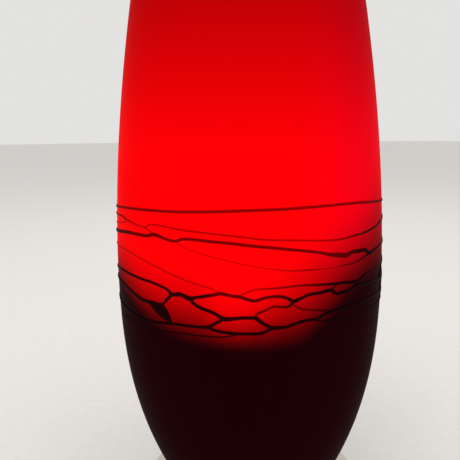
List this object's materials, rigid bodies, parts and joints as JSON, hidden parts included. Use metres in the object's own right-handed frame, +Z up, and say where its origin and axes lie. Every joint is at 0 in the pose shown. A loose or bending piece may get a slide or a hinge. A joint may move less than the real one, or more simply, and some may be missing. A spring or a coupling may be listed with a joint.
{
  "type": "art glass lamp",
  "caption": "Tall ovoid blown-glass table lamp, red to black, with trailed black threads, an open mouth, a round metal foot with a push switch, and a screw-in bulb.",
  "frame": {"origin": "centre of the felt under the foot, on the surface that the lamp stands on", "axes": "+Z up along the lamp's axis, front of the lamp towards -Y, switch and cord inlet towards +Y"},
  "size_m": [0.1821, 0.1823, 0.4],
  "materials": {
    "foot_metal": "polished and nickel plated",
    "foot_iron": "as cast",
    "foot_cover": "black powder coat",
    "steel_fasteners": "zinc plated",
    "felt": "dark wool felt",
    "black_rubber": "matt",
    "block_plastic": "natural polyamide",
    "brass": "bright stamped",
    "switch_plastic": "black, satin",
    "button_plastic": "black, glossy",
    "plated_steel": "zinc or nickel plated",
    "red_glass": "blown and fire polished; saturated red, nearly black towards the foot",
    "black_glass": "glossy black glass",
    "holder_plastic": "black phenolic moulding",
    "holder_ceramic": "white steatite",
    "bulb_plastic": "white, satin",
    "circuit_board": "green laminate",
    "led_board": "white solder mask on aluminium",
    "led_emitter": "yellow phosphor",
    "opal_dome": "opal diffuser, lit",
    "wire_brown": "brown insulation",
    "wire_black": "black insulation",
    "wire_blue": "blue insulation",
    "wire_green": "green and yellow insulation"
  },
  "bodies": {
    "lamp": {"base_shell": "foot_metal", "switch_nut": "foot_metal", "ballast": "foot_iron", "base_cover": "foot_cover", "base_cover_screws": "steel_fasteners", "earth_stud": "steel_fasteners", "earth_nut": "steel_fasteners", "felt_pad": "felt", "cord_grommet": "black_rubber", "seat_gasket": "black_rubber", "floor_gasket": "black_rubber", "terminal_block": "block_plastic", "terminal_screws": "brass", "earth_tag": "brass", "screw_shell": "brass", "centre_contact": "brass", "holder_terminals": "brass", "switch_housing": "switch_plastic", "stem_tube": "plated_steel", "stem_washer": "plated_steel", "stem_nut": "plated_steel", "clamp_washer": "plated_steel", "clamp_nut": "plated_steel", "glass_body": "red_glass", "glass_threads": "black_glass", "holder_dome": "holder_plastic", "holder_skirt": "holder_plastic", "holder_insert": "holder_ceramic", "lead_live": "wire_brown", "lead_switched": "wire_black", "lead_neutral": "wire_blue", "lead_earth": "wire_green"},
    "bulb_lift": {"bulb_contact": "brass", "bulb_insulator": "black_glass", "bulb_cap": "plated_steel"},
    "bulb": {"bulb_body": "bulb_plastic", "driver_board": "circuit_board", "led_plate": "led_board", "led_chips": "led_emitter", "bulb_dome": "opal_dome"},
    "button": {"switch_button": "button_plastic"}
  },
  "joints": [
    {"name": "bulb_rise", "type": "slide", "parent": "lamp", "child": "bulb_lift", "axis": [0, 0, 1], "range_m": [0, 0.01452]},
    {"name": "bulb_turn", "type": "hinge", "parent": "bulb_lift", "child": "bulb", "pos_m": [0, 0, 0.17], "axis": [0, 0, 1], "range_deg": [0, 1440]},
    {"name": "switch_press", "type": "slide", "parent": "lamp", "child": "button", "axis": [0, 0, -1], "range_m": [0, 0.0025], "stiffness_N_per_m": 400, "springref_m": -0.002}
  ],
  "couplings": [
    {"joint": "bulb_turn", "follows": "bulb_rise", "rad_per_m": 1731.4}
  ]
}
